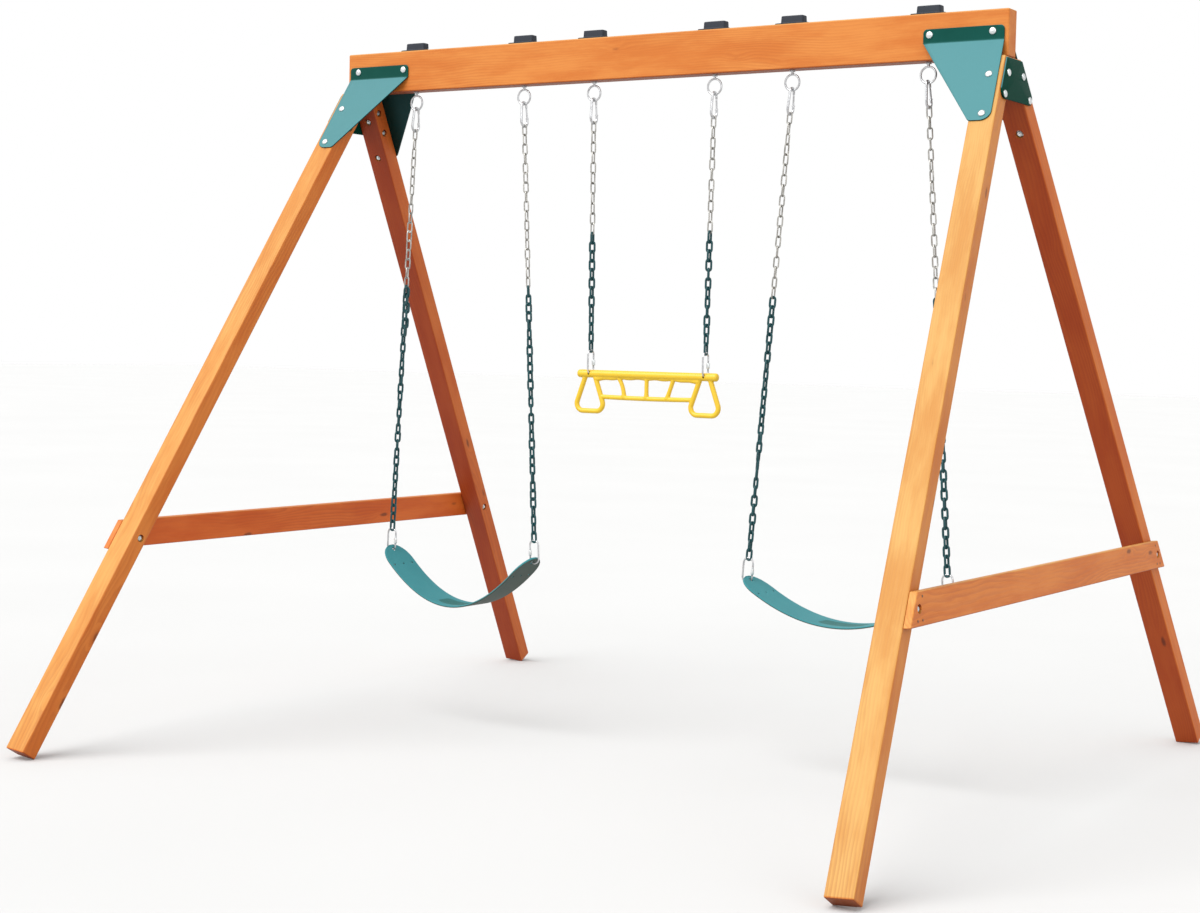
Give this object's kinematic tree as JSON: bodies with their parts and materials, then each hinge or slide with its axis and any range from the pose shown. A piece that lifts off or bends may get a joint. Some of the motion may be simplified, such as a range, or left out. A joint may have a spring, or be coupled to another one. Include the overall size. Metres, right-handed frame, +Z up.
{
  "type": "swing set",
  "caption": "Timber A-frame swing set with a beam on splayed legs, belt swings either side of a trapeze bar with ring handles, hung on chains.",
  "frame": {"origin": "on the ground, under the middle of the beam", "axes": "+X along the beam to the right as seen from the front, +Y to the back, +Z up"},
  "size_m": [2.9334, 2.7518, 2.3677],
  "materials": {
    "stained_timber": "orange stained sawn and planed softwood",
    "green_steel": "green powder coat",
    "zinc_steel": "bright zinc plate",
    "black_plastic": "moulded, satin",
    "coated_chain": "soft plastic dip over galvanised steel, bare at the top",
    "green_rubber": "moulded, matt, with a fine grip pattern",
    "yellow_plastic": "moulded, satin gloss"
  },
  "bodies": {
    "frame": {"beam": "stained_timber", "leg_front_left": "stained_timber", "leg_front_right": "stained_timber", "leg_back_left": "stained_timber", "leg_back_right": "stained_timber", "brace_left": "stained_timber", "brace_right": "stained_timber", "corner_bracket_front_left": "green_steel", "corner_bracket_front_right": "green_steel", "corner_bracket_back_left": "green_steel", "corner_bracket_back_right": "green_steel", "end_plate_left": "green_steel", "end_plate_right": "green_steel", "ring_bolt_1": "zinc_steel", "cap_1": "black_plastic", "ring_bolt_2": "zinc_steel", "cap_2": "black_plastic", "ring_bolt_3": "zinc_steel", "cap_3": "black_plastic", "ring_bolt_4": "zinc_steel", "cap_4": "black_plastic", "ring_bolt_5": "zinc_steel", "cap_5": "black_plastic", "ring_bolt_6": "zinc_steel", "cap_6": "black_plastic"},
    "left_swing_chains": {"left_swing_hook_left": "zinc_steel", "left_swing_chain_left": "coated_chain", "left_swing_hook_right": "zinc_steel", "left_swing_chain_right": "coated_chain"},
    "left_swing_seat": {"left_swing_quick_link_left": "zinc_steel", "left_swing_quick_link_right": "zinc_steel", "left_swing_belt": "green_rubber"},
    "left_swing_gate_left_body": {"left_swing_gate_left": "zinc_steel"},
    "left_swing_sleeve_left_body": {"left_swing_sleeve_left": "zinc_steel"},
    "left_swing_gate_right_body": {"left_swing_gate_right": "zinc_steel"},
    "left_swing_sleeve_right_body": {"left_swing_sleeve_right": "zinc_steel"},
    "trapeze_chains": {"trapeze_hook_left": "zinc_steel", "trapeze_chain_left": "coated_chain", "trapeze_hook_right": "zinc_steel", "trapeze_chain_right": "coated_chain"},
    "trapeze_seat": {"trapeze_quick_link_left": "zinc_steel", "trapeze_quick_link_right": "zinc_steel", "trapeze_bar": "yellow_plastic"},
    "trapeze_gate_left_body": {"trapeze_gate_left": "zinc_steel"},
    "trapeze_sleeve_left_body": {"trapeze_sleeve_left": "zinc_steel"},
    "trapeze_gate_right_body": {"trapeze_gate_right": "zinc_steel"},
    "trapeze_sleeve_right_body": {"trapeze_sleeve_right": "zinc_steel"},
    "right_swing_chains": {"right_swing_hook_left": "zinc_steel", "right_swing_chain_left": "coated_chain", "right_swing_hook_right": "zinc_steel", "right_swing_chain_right": "coated_chain"},
    "right_swing_seat": {"right_swing_quick_link_left": "zinc_steel", "right_swing_quick_link_right": "zinc_steel", "right_swing_belt": "green_rubber"},
    "right_swing_gate_left_body": {"right_swing_gate_left": "zinc_steel"},
    "right_swing_sleeve_left_body": {"right_swing_sleeve_left": "zinc_steel"},
    "right_swing_gate_right_body": {"right_swing_gate_right": "zinc_steel"},
    "right_swing_sleeve_right_body": {"right_swing_sleeve_right": "zinc_steel"}
  },
  "joints": [
    {"name": "left_swing_swing", "type": "hinge", "parent": "frame", "child": "left_swing_chains", "pos_m": [-0.728, 0, 2.13695], "axis": [1, 0, 0], "range_deg": [-60, 60]},
    {"name": "left_swing_seat_rock", "type": "hinge", "parent": "left_swing_chains", "child": "left_swing_seat", "pos_m": [-0.728, 0, 0.66626], "axis": [1, 0, 0], "range_deg": [-40, 40]},
    {"name": "left_swing_gate_left_open", "type": "hinge", "parent": "left_swing_chains", "child": "left_swing_gate_left_body", "pos_m": [-0.95931, 0.01672, 2.09276], "axis": [0.9986, 0, -0.0522], "range_deg": [0, 28], "stiffness_Nm_per_rad": 0.05},
    {"name": "left_swing_sleeve_left_unscrew", "type": "slide", "parent": "left_swing_seat", "child": "left_swing_sleeve_left_body", "axis": [0.0522, 0, 0.9986], "range_m": [0, 0.013]},
    {"name": "left_swing_gate_right_open", "type": "hinge", "parent": "left_swing_chains", "child": "left_swing_gate_right_body", "pos_m": [-0.49669, 0.01672, 2.09276], "axis": [0.9986, 0, 0.0522], "range_deg": [0, 28], "stiffness_Nm_per_rad": 0.05},
    {"name": "left_swing_sleeve_right_unscrew", "type": "slide", "parent": "left_swing_seat", "child": "left_swing_sleeve_right_body", "axis": [-0.0522, 0, 0.9986], "range_m": [0, 0.013]},
    {"name": "trapeze_swing", "type": "hinge", "parent": "frame", "child": "trapeze_chains", "pos_m": [0.012, 0, 2.13695], "axis": [1, 0, 0], "range_deg": [-60, 60]},
    {"name": "trapeze_seat_rock", "type": "hinge", "parent": "trapeze_chains", "child": "trapeze_seat", "pos_m": [0.012, 0, 1.2993], "axis": [1, 0, 0], "range_deg": [-40, 40]},
    {"name": "trapeze_gate_left_open", "type": "hinge", "parent": "trapeze_chains", "child": "trapeze_gate_left_body", "pos_m": [-0.21652, 0.01672, 2.0927], "axis": [0.9999, 0, 0.011], "range_deg": [0, 28], "stiffness_Nm_per_rad": 0.05},
    {"name": "trapeze_sleeve_left_unscrew", "type": "slide", "parent": "trapeze_seat", "child": "trapeze_sleeve_left_body", "axis": [0, 0, 1], "range_m": [0, 0.013]},
    {"name": "trapeze_gate_right_open", "type": "hinge", "parent": "trapeze_chains", "child": "trapeze_gate_right_body", "pos_m": [0.24052, 0.01672, 2.0927], "axis": [0.9999, 0, -0.011], "range_deg": [0, 28], "stiffness_Nm_per_rad": 0.05},
    {"name": "trapeze_sleeve_right_unscrew", "type": "slide", "parent": "trapeze_seat", "child": "trapeze_sleeve_right_body", "axis": [0, 0, 1], "range_m": [0, 0.013]},
    {"name": "right_swing_swing", "type": "hinge", "parent": "frame", "child": "right_swing_chains", "pos_m": [0.748, 0, 2.13695], "axis": [1, 0, 0], "range_deg": [-60, 60]},
    {"name": "right_swing_seat_rock", "type": "hinge", "parent": "right_swing_chains", "child": "right_swing_seat", "pos_m": [0.748, 0, 0.66838], "axis": [1, 0, 0], "range_deg": [-40, 40]},
    {"name": "right_swing_gate_left_open", "type": "hinge", "parent": "right_swing_chains", "child": "right_swing_gate_left_body", "pos_m": [0.51569, 0.01672, 2.09282], "axis": [0.9972, 0, -0.0749], "range_deg": [0, 28], "stiffness_Nm_per_rad": 0.05},
    {"name": "right_swing_sleeve_left_unscrew", "type": "slide", "parent": "right_swing_seat", "child": "right_swing_sleeve_left_body", "axis": [0.0749, 0, 0.9972], "range_m": [0, 0.013]},
    {"name": "right_swing_gate_right_open", "type": "hinge", "parent": "right_swing_chains", "child": "right_swing_gate_right_body", "pos_m": [0.98031, 0.01672, 2.09282], "axis": [0.9972, 0, 0.0749], "range_deg": [0, 28], "stiffness_Nm_per_rad": 0.05},
    {"name": "right_swing_sleeve_right_unscrew", "type": "slide", "parent": "right_swing_seat", "child": "right_swing_sleeve_right_body", "axis": [-0.0749, 0, 0.9972], "range_m": [0, 0.013]}
  ]
}
